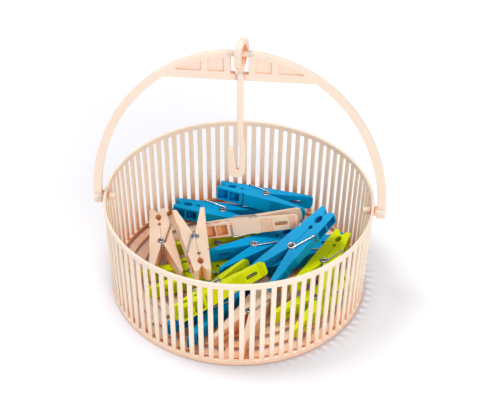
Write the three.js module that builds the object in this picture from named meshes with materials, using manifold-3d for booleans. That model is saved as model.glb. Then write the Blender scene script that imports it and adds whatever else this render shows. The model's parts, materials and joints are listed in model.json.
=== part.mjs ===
// A round slatted peg basket with a folding bail handle, a swinging hook and its spring clothes pegs.
// Millimetres, +Z up. X runs along the bail's two pivots, and the basket stands on z = 0.

import * as THREE from "three";
import { mergeVertices } from "three/addons/utils/BufferGeometryUtils.js";
import Module from "manifold-3d";

const wasm = await Module();
wasm.setup();

// Clearances

const seatGap = 0.35;
const pileGap = 0.4;
const overrun = 5;
const weldReach = 1e-4;
const halfTurn = 180;
const fullTurn = 360;

// Basket

const rimDiameter = 230;
const baseDiameter = 224;
const basketHeight = 91;
const rimHeight = 5.5;
const rimThickness = 2.4;
const bandHeight = 5.5;
const bandThickness = 3;
const slatCount = 84;
const slatWidth = 4.4;
const slatThickness = 2.5;
const slatInset = 0.4;
const slatTopSlope = 1.6;
const floorLift = 0.8;
const floorThickness = 2.6;
const floorRingPitch = 12.8;
const floorRingWidth = 7.5;
const smallRingSides = 16;
const largeRingSides = 24;
const floorRibCount = 8;
const floorRibWidth = 5;

const rimRadius = rimDiameter / 2;
const baseRadius = baseDiameter / 2;
const floorTop = floorLift + floorThickness;
const rimUnderside = basketHeight - rimHeight;
const wallLean = (rimRadius - baseRadius) / basketHeight;
const wallRadiusAt = (height) => baseRadius + wallLean * height;

// Bail: a flat arch in the XZ plane with a crown plate, and a pin at each foot

const bossLength = 2.25;
const bailRise = 150.4;
const bailDepth = 5;
const bailLegThickness = 7.2;
const crownBarHeight = 5.2;
const chordHeight = 7.4;
const crownDrop = 26;
const slotHalfWidth = 7.15;
const slotSink = 1.6;
const crownRibWidth = 5.4;
const recessWidth = 12.7;
const recessDepth = 1.4;
const footDrop = 6.5;
const archSteps = 28;
const legSteps = 9;
const barSides = 10;
const earRadius = 5.6;
const earTipRadius = 5;
const bossRadius = 4.3;
const pinRadius = 1.85;
const pinHeadRadius = 3.2;
const pinTipRadius = 2.2;
const pinHeadLength = 6.4;

const bailHalfSpan = rimRadius + seatGap + bossLength + bailLegThickness;
const pivotHeight = rimUnderside - seatGap - pinRadius;
const crownBarRadius = crownBarHeight / 2;
const crownBarDrop = bailRise - crownBarRadius;
const chordBottom = bailRise - crownDrop;
const chordTop = chordBottom + chordHeight;

// Hook: a flat eye round the crown bar, a shank in front of the crown plate and a J below

const eyeInnerRadius = 5.2;
const eyeLimb = 4.2;
const eyeWidth = 5.4;
const eyeTurnDegrees = 18;
const eyeSlack = 5.8;
const eyeTipDrop = 9.2;
const eyeBackDrop = 1.1;
const eyeSteps = 10;
const shoulderDrop = 14.9;
const shankWidth = 4.6;
const shankDepth = 4.2;
const hookDrop = 116;
const hookShift = 1.3;
const shankShift = 1.4;
const hookBend = 42;
const hookGap = 4.7;
const hookLimb = 4.3;
const hookTipLimb = 5.2;
const hookTipRise = 30;
const hookSlant = 12.9;
const bowSteps = 8;

// Pegs: two equal levers face to face, with a wound spring at the pivot

const jawLength = 46;
const gripLength = 42;
const pegWidth = 12.5;
const jawGap = 0.3;
const mouthOpening = 3.8;
const mouthLength = 6;
const jawHeight = 7.2;
const gripHeight = 14.6;
const gripEndThickness = 3.4;
const gripEndRound = 1.6;
const lineNotchFromTip = 12.5;
const lineNotchHalf = 4.2;
const lineNotchDepth = 3;
const wireNotchFromTip = 22.5;
const wireNotchHalf = 2.2;
const wireNotchDepth = 1.9;
const lineNotchSteps = 4;
const wireNotchSteps = 3;
const wallThickness = 1.6;
const pocketDepth = 2.6;
const pocketLength = 21;
const grooveWidth = 1.9;
const grooveDepth = 1.3;
const grooveFromTip = 26.5;
const channelFromPivot = 9;
const channelEndWall = 3.4;
const gripSlotLength = 12;
const gripSlotWidth = 3.4;
const gripSlotFromEnd = 16;
const seatEndDegrees = 12;
const seatSteps = 5;

const wireDiameter = 1.3;
const coilDiameter = 7.4;
const coilTurns = 3;
const coilStepsPerTurn = 8;
const wireSides = 5;
const crossArmLength = 10.5;

const wireRadius = wireDiameter / 2;
const coilPathRadius = (coilDiameter - wireDiameter) / 2;
const coilSeatRadius = coilDiameter / 2 + seatGap;
const coilHalfLength = pegWidth / 2 + seatGap + wireRadius;

// Pile, in the order the pegs come down. Spot is a share of the floor's reach; heading, pitch and roll are
// degrees; moving is the lever that opens; the colour is in the name. The whole pile is turned by pileTurn.

const pileTurn = 7;
const pitchStep = 1;
const pitchTries = 16;
const pileShares = [
  { name: "blue_peg_1", spot: [-0.24, -0.55], heading: -134, pitch: 0, roll: 90, moving: "near" },
  { name: "cream_peg_1", spot: [0.07, -0.59], heading: -118, pitch: 0, roll: 90, moving: "far" },
  { name: "lime_peg_1", spot: [0.6, -0.45], heading: -137, pitch: 0, roll: 90, moving: "near" },
  { name: "blue_peg_2", spot: [0.51, 0.15], heading: -160, pitch: 0, roll: 90, moving: "far" },
  { name: "lime_peg_2", spot: [-0.38, -0.1], heading: -167, pitch: 0, roll: 90, moving: "near" },
  { name: "lime_peg_3", spot: [-0.16, 0.24], heading: -163, pitch: 0, roll: 90, moving: "far" },
  { name: "blue_peg_3", spot: [-0.11, 0.68], heading: -15, pitch: 0, roll: 86, moving: "near" },
  { name: "blue_peg_4", spot: [0.13, 0.06], heading: -153, pitch: 0, roll: 90, moving: "far" },
  { name: "cream_peg_2", spot: [-0.62, 0.14], heading: -84, pitch: 0, roll: 90, moving: "far" },
  { name: "lime_peg_4", spot: [-0.16, -0.46], heading: 38, pitch: 0, roll: 62, moving: "near" },
  { name: "lime_peg_5", spot: [0.68, -0.16], heading: -117, pitch: 0, roll: 90, moving: "far" },
  { name: "cream_peg_3", spot: [0.14, 0.27], heading: -5, pitch: 0, roll: 65, moving: "far" },
  { name: "blue_peg_5", spot: [0.26, 0.74], heading: -21, pitch: 0, roll: 80, moving: "near" },
  { name: "blue_peg_6", spot: [0.43, -0.12], heading: -142, pitch: 36, roll: 84, moving: "far" },
  { name: "cream_peg_4", spot: [-0.35, -0.01], heading: 98, pitch: -4, roll: 90, moving: "far" },
];

// Materials

const creamPlastic = new THREE.MeshStandardMaterial({ color: "#f7dcc3", roughness: 0.45, metalness: 0 });
const bluePlastic = new THREE.MeshStandardMaterial({ color: "#1792d6", roughness: 0.35, metalness: 0 });
const limePlastic = new THREE.MeshStandardMaterial({ color: "#b5d417", roughness: 0.35, metalness: 0 });
const plastics = { cream: creamPlastic, blue: bluePlastic, lime: limePlastic };
const springSteel = new THREE.MeshStandardMaterial({ color: "#b9bcc0", roughness: 0.25, metalness: 1 });

// Solids and meshes

function solidOf(geometry) {
  const bare = geometry.clone();
  bare.deleteAttribute("normal");
  bare.deleteAttribute("uv");
  const merged = mergeVertices(bare, weldReach);
  const mesh = new wasm.Mesh({
    numProp: 3,
    vertProperties: new Float32Array(merged.attributes.position.array),
    triVerts: new Uint32Array(merged.index.array),
  });
  return new wasm.Manifold(mesh);
}

function geometryOf(solid) {
  const mesh = solid.getMesh();
  const geometry = new THREE.BufferGeometry();
  geometry.setAttribute("position", new THREE.BufferAttribute(new Float32Array(mesh.vertProperties), 3));
  geometry.setIndex(new THREE.BufferAttribute(new Uint32Array(mesh.triVerts), 1));
  geometry.computeVertexNormals();
  return geometry;
}

const joined = (solids) => wasm.Manifold.union(solids);

function box(low, high) {
  const size = high.map((value, axis) => value - low[axis]);
  const geometry = new THREE.BoxGeometry(...size);
  geometry.translate(...high.map((value, axis) => (value + low[axis]) / 2));
  return solidOf(geometry);
}

// A plate of the outline's shape, drawn in X and Z, between two places along Y.
function plateGeometry(outline, fromY, toY) {
  const geometry = new THREE.ExtrudeGeometry(outline, { depth: toY - fromY, bevelEnabled: false });
  geometry.rotateX(Math.PI / 2);
  geometry.translate(0, toY, 0);
  return geometry;
}

const plate = (outline, fromY, toY) => solidOf(plateGeometry(outline, fromY, toY));

function ring(innerRadius, outerRadius, low, high, segments) {
  const corners = [[innerRadius, low], [outerRadius, low], [outerRadius, high], [innerRadius, high]];
  const profile = [...corners, corners[0]].map(([radius, height]) => new THREE.Vector2(radius, height));
  const geometry = new THREE.LatheGeometry(profile, segments);
  geometry.rotateX(Math.PI / 2);
  return solidOf(geometry);
}

function roundBar(startRadius, endRadius, fromX, toX, segments) {
  const geometry = new THREE.CylinderGeometry(endRadius, startRadius, toX - fromX, segments);
  geometry.rotateZ(-Math.PI / 2);
  geometry.translate((fromX + toX) / 2, 0, 0);
  return solidOf(geometry);
}

const shapeOf = (points) => new THREE.Shape(points.map(([x, z]) => new THREE.Vector2(x, z)));

function arc(centreX, centreZ, radius, fromDegrees, toDegrees, steps) {
  return Array.from({ length: steps + 1 }, (_, step) => {
    const angle = THREE.MathUtils.degToRad(fromDegrees + (toDegrees - fromDegrees) * step / steps);
    return [centreX + radius * Math.cos(angle), centreZ + radius * Math.sin(angle)];
  });
}

// A strip along a centre line of [x, z, half width] points.
function ribbon(line) {
  const side = (sign) => line.map(([x, z, half], index) => {
    const before = line[Math.max(index - 1, 0)];
    const after = line[Math.min(index + 1, line.length - 1)];
    const run = Math.hypot(after[0] - before[0], after[1] - before[1]);
    return [x - sign * half * (after[1] - before[1]) / run, z + sign * half * (after[0] - before[0]) / run];
  });
  return shapeOf([...side(-1), ...side(1).reverse()]);
}

function named(name, geometry, material) {
  const mesh = new THREE.Mesh(geometry, material);
  mesh.name = name;
  return mesh;
}

// Basket wall: rim and foot band joined by slats

function slat() {
  const footHeight = bandHeight / 2;
  const headHeight = rimUnderside + rimHeight / 2;
  const shoulder = headHeight - slatTopSlope;
  const outer = (height) => wallRadiusAt(height) - slatInset;
  const outline = shapeOf([
    [outer(footHeight) - slatThickness, footHeight],
    [outer(footHeight), footHeight],
    [outer(headHeight), headHeight],
    [rimRadius - rimThickness / 2, headHeight],
    [outer(shoulder) - slatThickness, shoulder],
  ]);
  return plate(outline, -slatWidth / 2, slatWidth / 2);
}

function basketWall() {
  const rim = ring(rimRadius - rimThickness, rimRadius, rimUnderside, basketHeight, slatCount);
  const band = ring(baseRadius - bandThickness, baseRadius, 0, bandHeight, slatCount);
  const halfPitch = halfTurn / slatCount;
  const upright = slat();
  const slats = Array.from({ length: slatCount }, (_, index) => {
    return upright.rotate([0, 0, (2 * index + 1) * halfPitch]);
  });
  return joined([rim, band, ...slats]);
}

// Basket floor: rings on radial ribs that end at the foot band

function basketFloor() {
  const rings = [];
  for (let radius = floorRingPitch; radius < baseRadius - floorRingPitch; radius += floorRingPitch) {
    const sides = radius < baseRadius / 3 ? smallRingSides : largeRingSides;
    rings.push(ring(radius - floorRingWidth / 2, radius + floorRingWidth / 2, floorLift, floorTop, sides));
  }
  const ribEnd = baseRadius - bandThickness - seatGap;
  const rib = box([floorRingPitch, -floorRibWidth / 2, floorLift], [ribEnd, floorRibWidth / 2, floorTop]);
  const ribs = Array.from({ length: floorRibCount }, (_, index) => {
    return rib.rotate([0, 0, fullTurn * index / floorRibCount]);
  });
  return joined([...rings, ...ribs]);
}

// Bail, drawn about its pivot axis

function archAt(halfSpan, rise, steps, fromDegrees = 0, toDegrees = halfTurn) {
  return Array.from({ length: steps + 1 }, (_, step) => {
    const angle = THREE.MathUtils.degToRad(fromDegrees + (toDegrees - fromDegrees) * step / steps);
    return [halfSpan * Math.cos(angle), rise * Math.sin(angle)];
  });
}

const archHeight = (x) => bailRise * Math.sqrt(1 - (x / bailHalfSpan) ** 2);

function bailOutline() {
  const innerSpan = bailHalfSpan - bailLegThickness;
  const innerRise = bailRise - crownBarHeight;
  const chordDegrees = THREE.MathUtils.radToDeg(Math.asin(chordBottom / innerRise));
  const outer = archAt(bailHalfSpan, bailRise, archSteps);
  const innerLeft = archAt(innerSpan, innerRise, legSteps, halfTurn, halfTurn - chordDegrees);
  const innerRight = archAt(innerSpan, innerRise, legSteps, chordDegrees, 0);
  const chamfer = bailLegThickness / 3;
  const leftFoot = [
    [-bailHalfSpan, -footDrop + chamfer],
    [-bailHalfSpan + chamfer, -footDrop],
    [-innerSpan, -footDrop],
  ];
  const rightFoot = leftFoot.map(([x, z]) => [-x, z]).reverse();
  return shapeOf([...outer, ...leftFoot, ...innerLeft, ...innerRight, ...rightFoot]);
}

function crownRecess(side) {
  const near = slotHalfWidth + crownRibWidth;
  const far = near + recessWidth;
  const topAt = (x) => archHeight(x) - crownBarHeight;
  const square = [[near, chordTop], [far, chordTop], [far, topAt(far)], [near, topAt(near)]];
  const wedgeStart = far + crownRibWidth;
  const wedgeEnd = bailHalfSpan * Math.sqrt(1 - ((chordTop + crownBarHeight) / bailRise) ** 2);
  const wedgeMiddle = (wedgeStart + wedgeEnd) / 2;
  const wedge = [[wedgeStart, chordTop], [wedgeEnd, chordTop], [wedgeMiddle, topAt(wedgeMiddle)],
    [wedgeStart, topAt(wedgeStart)]];
  return [square, wedge].map((points) => {
    const placed = points.map(([x, z]) => [side * x, z]);
    return shapeOf(side > 0 ? placed : placed.reverse());
  });
}

function bailFoot(side) {
  const innerSpan = bailHalfSpan - bailLegThickness;
  const wallFace = rimRadius + seatGap;
  const headFace = wallRadiusAt(pivotHeight) - slatInset - slatThickness - seatGap;
  const parts = [
    roundBar(earRadius, earTipRadius, innerSpan, bailHalfSpan, barSides),
    roundBar(bossRadius, bossRadius, wallFace, innerSpan + bailLegThickness / 2, barSides),
    roundBar(pinRadius, pinRadius, headFace - pinHeadLength / 2, innerSpan, barSides),
    roundBar(pinTipRadius, pinHeadRadius, headFace - pinHeadLength, headFace, barSides),
  ];
  return joined(parts).scale([side, 1, 1]);
}

function bail() {
  const body = plate(bailOutline(), -bailDepth / 2, bailDepth / 2);
  const slotLow = [-slotHalfWidth, -overrun, chordTop - slotSink];
  const slot = box(slotLow, [slotHalfWidth, overrun, bailRise + overrun]);
  const recessFloor = bailDepth / 2 - recessDepth;
  const recesses = [-1, 1].flatMap(crownRecess).flatMap((outline) => [
    plate(outline, recessFloor, bailDepth),
    plate(outline, -bailDepth, -recessFloor),
  ]);
  const barEnd = slotHalfWidth + crownRibWidth / 2;
  const crownBar = roundBar(crownBarRadius, crownBarRadius, -barEnd, barEnd, barSides)
    .translate([0, 0, crownBarDrop]);
  const carved = recesses.reduce((solid, recess) => solid.subtract(recess), body.subtract(slot));
  return joined([carved, crownBar, bailFoot(-1), bailFoot(1)]).translate([0, 0, pivotHeight]);
}

// Hook, drawn about the crown bar's axis

const eyeMiddle = eyeInnerRadius + eyeLimb / 2;
const eyeCentreRise = crownBarRadius + eyeSlack - eyeInnerRadius;
const eyeTurn = THREE.MathUtils.degToRad(eyeTurnDegrees);
const shankBack = bailDepth / 2 + seatGap + shankDepth / 2;

function eyeOutline() {
  const half = eyeLimb / 2;
  const shankOffset = shankBack / Math.cos(eyeTurn);
  const over = arc(0, eyeCentreRise, eyeMiddle, halfTurn, 0, eyeSteps).map(([x, z]) => [x, z, half]);
  return ribbon([
    [-eyeMiddle, eyeCentreRise - eyeTipDrop - half / 2, half / 2],
    [-eyeMiddle, eyeCentreRise - eyeTipDrop + half / 2, half],
    ...over,
    [eyeMiddle, -eyeBackDrop, half],
    [-shankOffset, -shoulderDrop, half],
    [-shankOffset, -shoulderDrop - half / 2, half / 2],
  ]);
}

function hookOutline() {
  const half = shankWidth / 2;
  const limbHalf = hookLimb / 2;
  const tipHalf = hookTipLimb / 2;
  const limbX = half;
  const tipX = limbX - limbHalf - hookGap - tipHalf;
  const bowX = (limbX + tipX) / 2;
  const bowRadius = (limbX - tipX) / 2;
  const bowDrop = hookDrop - bowRadius - tipHalf;
  const bowHalf = (limbHalf + tipHalf) / 2;
  const bow = arc(bowX, -bowDrop, bowRadius, 0, -halfTurn, bowSteps).map(([x, z]) => [x, z, bowHalf]);
  return ribbon([
    [0, -shoulderDrop + half / 2, half / 2],
    [0, -shoulderDrop - half / 2, half],
    [0, -hookDrop + hookBend + hookLimb, half],
    [limbX / 2, -hookDrop + hookBend, (half + limbHalf) / 2],
    [limbX, -hookDrop + hookBend - hookSlant, limbHalf],
    ...bow,
    [tipX, -bowDrop + bowRadius, tipHalf],
    [tipX, -hookDrop + hookTipRise - tipHalf, tipHalf],
    [tipX, -hookDrop + hookTipRise, tipHalf / 2],
  ]);
}

function hook() {
  const eye = plate(eyeOutline(), -eyeWidth / 2, eyeWidth / 2).rotate([0, 0, 90 - eyeTurnDegrees]);
  const shankX = shankShift - shankBack * Math.tan(eyeTurn);
  const lower = plate(hookOutline(), -shankDepth / 2, shankDepth / 2).translate([shankX, -shankBack, 0]);
  return joined([eye, lower]).translate([hookShift, 0, pivotHeight + crownBarDrop]);
}

// Peg lever, drawn in the peg's own frame: X from the pivot to the grip ends, Y along the coil, Z out

const outerSlope = (gripHeight - jawHeight) / (jawLength + gripLength);
const outerAt = (x) => jawHeight + outerSlope * (x + jawLength);
const grooveX = -jawLength + grooveFromTip;
const gripInner = gripHeight - gripEndThickness;

// A lens-shaped notch in the jaw face, from left to right.
function notch(centreX, half, depth, steps) {
  return Array.from({ length: steps + 1 }, (_, step) => {
    const along = 2 * step / steps - 1;
    return [centreX + half * along, jawGap / 2 + depth * (1 - along * along)];
  });
}

function leverOutline() {
  const seatStart = THREE.MathUtils.radToDeg(Math.asin(jawGap / 2 / coilSeatRadius));
  const seat = arc(0, 0, coilSeatRadius, halfTurn - seatStart, seatEndDegrees, seatSteps);
  return shapeOf([
    [-jawLength, jawHeight],
    [-jawLength, mouthOpening],
    [-jawLength + mouthLength, jawGap / 2],
    ...notch(-jawLength + lineNotchFromTip, lineNotchHalf, lineNotchDepth, lineNotchSteps),
    ...notch(-jawLength + wireNotchFromTip, wireNotchHalf, wireNotchDepth, wireNotchSteps),
    ...seat,
    [gripLength - gripEndRound, gripInner - gripEndRound * outerSlope],
    [gripLength, gripInner + gripEndRound],
    [gripLength, gripHeight - gripEndRound],
    [gripLength - gripEndRound, outerAt(gripLength - gripEndRound)],
  ].reverse());
}

function leverSolid() {
  const inside = pegWidth / 2 - wallThickness;
  const body = plate(leverOutline(), -pegWidth / 2, pegWidth / 2);
  const channelEnd = gripLength - channelEndWall;
  const webAt = (x) => outerAt(x) - wallThickness;
  const channel = plate(shapeOf([
    [channelFromPivot, 0],
    [channelEnd, 0],
    [channelEnd, webAt(channelEnd)],
    [channelFromPivot, webAt(channelFromPivot)],
  ]), -inside, inside);
  const cellLength = (pocketLength - wallThickness) / 2;
  const cells = [0, 1].map((index) => {
    const fromX = -jawLength + wallThickness + index * (cellLength + wallThickness);
    return box([fromX, -inside, outerAt(fromX) - pocketDepth], [fromX + cellLength, inside, gripHeight]);
  });
  const groove = box([grooveX - grooveWidth / 2, -pegWidth, outerAt(grooveX) - grooveDepth],
    [grooveX + grooveWidth / 2, pegWidth, gripHeight]);
  const slotMiddle = gripLength - gripSlotFromEnd;
  const slotHalf = gripSlotLength / 2;
  const slot = box([slotMiddle - slotHalf, -gripSlotWidth / 2, 0],
    [slotMiddle + slotHalf, gripSlotWidth / 2, gripHeight + overrun]);
  return [channel, ...cells, groove, slot].reduce((solid, cut) => solid.subtract(cut), body);
}

// Peg spring: one wire, with a cross arm in each lever's groove and a coil between them

class WirePath extends THREE.Curve {
  constructor(points) {
    super();
    this.points = points;
  }

  getPoint(share) {
    const place = share * (this.points.length - 1);
    const index = Math.min(Math.floor(place), this.points.length - 2);
    return this.points[index].clone().lerp(this.points[index + 1], place - index);
  }

  getPointAt(share) {
    return this.getPoint(share);
  }

  getTangentAt(share) {
    return this.getTangent(share);
  }
}

const grooveSeat = outerAt(grooveX) - grooveDepth + seatGap + wireRadius;

function springPoints() {
  const reach = Math.hypot(grooveX, grooveSeat);
  const leave = Math.atan2(grooveSeat, grooveX) - Math.acos(coilPathRadius / reach);
  const sweep = 2 * Math.PI * coilTurns + 2 * leave;
  const steps = Math.round(coilStepsPerTurn * sweep / (2 * Math.PI));
  const coil = Array.from({ length: steps + 1 }, (_, step) => {
    const angle = leave - sweep * step / steps;
    const along = coilHalfLength * (2 * step / steps - 1);
    return new THREE.Vector3(coilPathRadius * Math.cos(angle), along, coilPathRadius * Math.sin(angle));
  });
  const arm = [
    new THREE.Vector3(grooveX, crossArmLength - coilHalfLength, grooveSeat),
    new THREE.Vector3(grooveX, crossArmLength - coilHalfLength - wireDiameter, grooveSeat),
    new THREE.Vector3(grooveX, wireRadius - coilHalfLength, grooveSeat),
    new THREE.Vector3(grooveX + wireRadius, -coilHalfLength, grooveSeat - wireRadius / 3),
  ];
  const otherArm = arm.map((point) => new THREE.Vector3(point.x, -point.y, -point.z)).reverse();
  return [...arm, ...coil, ...otherArm];
}

const wirePoints = springPoints();

function springGeometry() {
  const section = shapeOf(arc(0, 0, wireRadius, 0, fullTurn - fullTurn / wireSides, wireSides - 1));
  const extrudePath = new WirePath(wirePoints);
  const steps = wirePoints.length - 1;
  return new THREE.ExtrudeGeometry(section, { steps, extrudePath, bevelEnabled: false });
}

// The least gap of a wire to itself, between points further apart along it than half a curl.
function leastGap(points, diameter, apart) {
  let least = Infinity;
  points.forEach((point, index) => {
    points.slice(index + apart).forEach((other) => {
      least = Math.min(least, point.distanceTo(other) - diameter);
    });
  });
  return least;
}

const springGap = leastGap(wirePoints, wireDiameter, coilStepsPerTurn / 2);
console.log(`peg spring: least gap to itself ${springGap.toFixed(2)} mm`);

// Pile: every peg has a chosen spot and lie, comes straight down and rests on what it meets

const floorReach = baseRadius - slatInset - slatThickness - seatGap;

// The room a peg takes, as convex prisms of its levers, coil and wire, all grown by a gap.
function pegRoom(gap) {
  const outer = (x) => outerAt(x) + gap;
  const jawEnd = -jawLength - gap;
  const gripEnd = gripLength + gap;
  const half = pegWidth / 2 + gap;
  const wireRoom = wireRadius + gap;
  const lever = [[jawEnd, 0], [coilSeatRadius, 0], [gripEnd, gripInner - gap], [gripEnd, outer(gripEnd)],
    [jawEnd, outer(jawEnd)]];
  const arm = [[grooveX - wireRoom, grooveSeat - wireRoom], [0, coilPathRadius - wireRoom],
    [0, coilPathRadius + wireRoom], [grooveX - wireRoom, grooveSeat + wireRoom]];
  const crossTop = grooveSeat + wireRoom;
  const cross = [[grooveX - wireRoom, 0], [grooveX + wireRoom, 0], [grooveX + wireRoom, crossTop],
    [grooveX - wireRoom, crossTop]];
  const lastCorner = fullTurn - fullTurn / coilStepsPerTurn;
  const coil = arc(0, 0, coilPathRadius + wireRoom, 0, lastCorner, coilStepsPerTurn - 1);
  const flipped = (outline) => outline.map(([x, z]) => [x, -z]);
  const side = coilHalfLength + wireRoom;
  return [
    prism(lever, -half, half),
    prism(flipped(lever), -half, half),
    prism(coil, -side, side),
    prism(arm, -side, 2 * wireRoom - side),
    prism(flipped(arm), side - 2 * wireRoom, side),
    prism(cross, -side, crossArmLength - side),
    prism(flipped(cross), side - crossArmLength, side),
  ];
}

// A prism of a convex outline in X and Z, as its corners, edges and triangles.
function prism(outline, fromY, toY) {
  const count = outline.length;
  const points = [fromY, toY].flatMap((y) => outline.map(([x, z]) => new THREE.Vector3(x, y, z)));
  const around = outline.map((_, index) => [index, (index + 1) % count]);
  const edges = around.flatMap(([a, b]) => [[a, b], [a + count, b + count], [a, a + count]]);
  const caps = around.slice(1, -1).flatMap(([a, b]) => [[0, a, b], [count, a + count, b + count]]);
  const sides = around.flatMap(([a, b]) => [[a, b, b + count], [a, b + count, a + count]]);
  return { points, edges, faces: [...caps, ...sides] };
}

function placed(body, pose) {
  const points = body.points.map((point) => point.clone().applyMatrix4(pose));
  const pick = (lists) => lists.map((list) => list.map((index) => points[index]));
  const bounds = new THREE.Box3().setFromPoints(points);
  return { points, edges: pick(body.edges), faces: pick(body.faces), bounds };
}

// How far a point is above a triangle, or Infinity where it is beside it.
function heightOver(point, [a, b, c]) {
  const area = (b.x - a.x) * (c.y - a.y) - (c.x - a.x) * (b.y - a.y);
  const shareB = ((point.x - a.x) * (c.y - a.y) - (c.x - a.x) * (point.y - a.y)) / area;
  const shareC = ((b.x - a.x) * (point.y - a.y) - (point.x - a.x) * (b.y - a.y)) / area;
  const inside = shareB >= 0 && shareC >= 0 && shareB + shareC <= 1;
  return inside ? point.z - a.z - shareB * (b.z - a.z) - shareC * (c.z - a.z) : Infinity;
}

// How far one edge passes above another, or Infinity where they don't cross in plan.
function edgeOver([a, b], [c, d]) {
  const turn = (b.x - a.x) * (d.y - c.y) - (b.y - a.y) * (d.x - c.x);
  const along = ((c.x - a.x) * (d.y - c.y) - (c.y - a.y) * (d.x - c.x)) / turn;
  const across = ((c.x - a.x) * (b.y - a.y) - (c.y - a.y) * (b.x - a.x)) / turn;
  const crossing = along >= 0 && along <= 1 && across >= 0 && across <= 1;
  return crossing ? a.z + along * (b.z - a.z) - c.z - across * (d.z - c.z) : Infinity;
}

// The least drop from one body to another below it.
function dropBetween(upper, lower) {
  const besideX = upper.bounds.min.x > lower.bounds.max.x || upper.bounds.max.x < lower.bounds.min.x;
  const besideY = upper.bounds.min.y > lower.bounds.max.y || upper.bounds.max.y < lower.bounds.min.y;
  if (besideX || besideY) return Infinity;
  let least = Infinity;
  for (const face of lower.faces) {
    for (const point of upper.points) least = Math.min(least, heightOver(point, face));
  }
  for (const face of upper.faces) {
    for (const point of lower.points) {
      const rise = heightOver(point, face);
      if (rise < Infinity) least = Math.min(least, -rise);
    }
  }
  for (const edge of upper.edges) {
    for (const other of lower.edges) least = Math.min(least, edgeOver(edge, other));
  }
  return least;
}

// A peg's pose at one pitch, moved in from the wall and let down onto the floor and the settled bodies.
function letDown(room, peg, pitch, settled) {
  const lie = [peg.roll, pitch, peg.heading + pileTurn].map(THREE.MathUtils.degToRad);
  const turn = new THREE.Euler(...lie, "ZYX");
  const pose = new THREE.Matrix4().makeRotationFromEuler(turn);
  const corners = room.flatMap((body) => placed(body, pose).points);
  const spot = new THREE.Vector2(...peg.spot).multiplyScalar(floorReach);
  spot.rotateAround(new THREE.Vector2(), THREE.MathUtils.degToRad(pileTurn));
  for (const corner of [...corners, ...corners]) {
    const place = new THREE.Vector2(corner.x, corner.y).add(spot);
    const excess = Math.max(place.length() - floorReach, 0);
    spot.sub(place.setLength(excess));
  }
  pose.setPosition(spot.x, spot.y, 0);
  const bodies = room.map((body) => placed(body, pose));
  const overFloor = Math.min(...bodies.map((body) => body.bounds.min.z)) - floorTop;
  const drops = bodies.flatMap((body) => settled.map((other) => dropBetween(body, other)));
  const height = -Math.min(overFloor, ...drops);
  return { pose: pose.setPosition(spot.x, spot.y, height), height };
}

// The poses of the pegs, each in the lie near its chosen pitch that brings it lowest.
function settle(pegs) {
  const grown = pegRoom(pileGap);
  const bare = pegRoom(0);
  const settled = [];
  return pegs.map((peg) => {
    const tries = Array.from({ length: 2 * pitchTries + 1 }, (_, index) => {
      return letDown(grown, peg, peg.pitch + (index - pitchTries) * pitchStep, settled);
    });
    const { pose } = tries.reduce((best, other) => (other.height < best.height ? other : best));
    settled.push(...bare.map((body) => placed(body, pose)));
    return pose;
  });
}

const model = new THREE.Group();
model.add(named("basket_wall", geometryOf(basketWall()), creamPlastic));
model.add(named("basket_floor", geometryOf(basketFloor()), creamPlastic));
model.add(named("bail_handle", geometryOf(bail()), creamPlastic));
model.add(named("hanging_hook", geometryOf(hook()), creamPlastic));

const leverGeometry = geometryOf(leverSolid());
const wireGeometry = springGeometry();
settle(pileShares).forEach((pose, index) => {
  const { name, moving } = pileShares[index];
  const plastic = plastics[name.split("_")[0]];
  const moved = named(`${name}_free_lever`, leverGeometry, plastic);
  const kept = named(`${name}_lever`, leverGeometry, plastic);
  (moving === "near" ? kept : moved).rotation.x = Math.PI;
  const group = new THREE.Group();
  group.add(kept, moved, named(`${name}_spring`, wireGeometry, springSteel));
  group.applyMatrix4(pose);
  model.add(group);
});

export default model;
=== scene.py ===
"""Round slatted peg basket: wall, floor, folding bail, hanging hook and a pile of clothes pegs.

Sizes are in millimetres and become metres where a mesh is handed to Blender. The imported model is
the frame: the basket's outer sizes, the pivots and every peg's lie are read from it.
"""

import json
import logging
import math
from collections.abc import Sequence
from dataclasses import dataclass, field
from enum import Enum

import bmesh
import bpy
from mathutils import Matrix, Vector


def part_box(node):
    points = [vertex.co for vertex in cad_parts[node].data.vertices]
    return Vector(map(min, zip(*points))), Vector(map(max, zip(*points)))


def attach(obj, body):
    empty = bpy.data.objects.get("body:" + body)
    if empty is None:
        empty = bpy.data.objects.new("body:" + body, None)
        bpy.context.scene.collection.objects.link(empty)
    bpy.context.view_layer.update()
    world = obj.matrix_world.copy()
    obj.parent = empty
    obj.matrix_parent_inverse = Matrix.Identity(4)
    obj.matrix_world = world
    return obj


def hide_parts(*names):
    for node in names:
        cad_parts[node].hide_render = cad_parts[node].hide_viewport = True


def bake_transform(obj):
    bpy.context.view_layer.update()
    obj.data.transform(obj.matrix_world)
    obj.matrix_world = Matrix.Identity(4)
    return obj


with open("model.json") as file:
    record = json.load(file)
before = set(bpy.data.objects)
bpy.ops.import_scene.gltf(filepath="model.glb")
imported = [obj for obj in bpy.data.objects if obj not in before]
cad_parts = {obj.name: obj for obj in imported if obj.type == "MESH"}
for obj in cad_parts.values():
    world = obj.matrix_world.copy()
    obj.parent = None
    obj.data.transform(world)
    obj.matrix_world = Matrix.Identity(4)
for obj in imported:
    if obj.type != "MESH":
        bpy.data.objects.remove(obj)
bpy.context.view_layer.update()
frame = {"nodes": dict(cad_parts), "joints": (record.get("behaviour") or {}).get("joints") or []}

LOG = logging.getLogger("peg_basket")
BASE_BODY = "basket_with_pegs"
MM = 0.001
FULL_TURN = 360.0
HALF_TURN = 180.0
QUARTER_TURN = 90.0

Point = tuple[float, float]
Outline = list[Point]
Triple = tuple[float, float, float]
Colour = Triple
Piece = bpy.types.Object
Shape = bmesh.types.BMesh
Socket = bpy.types.NodeSocket


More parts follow.
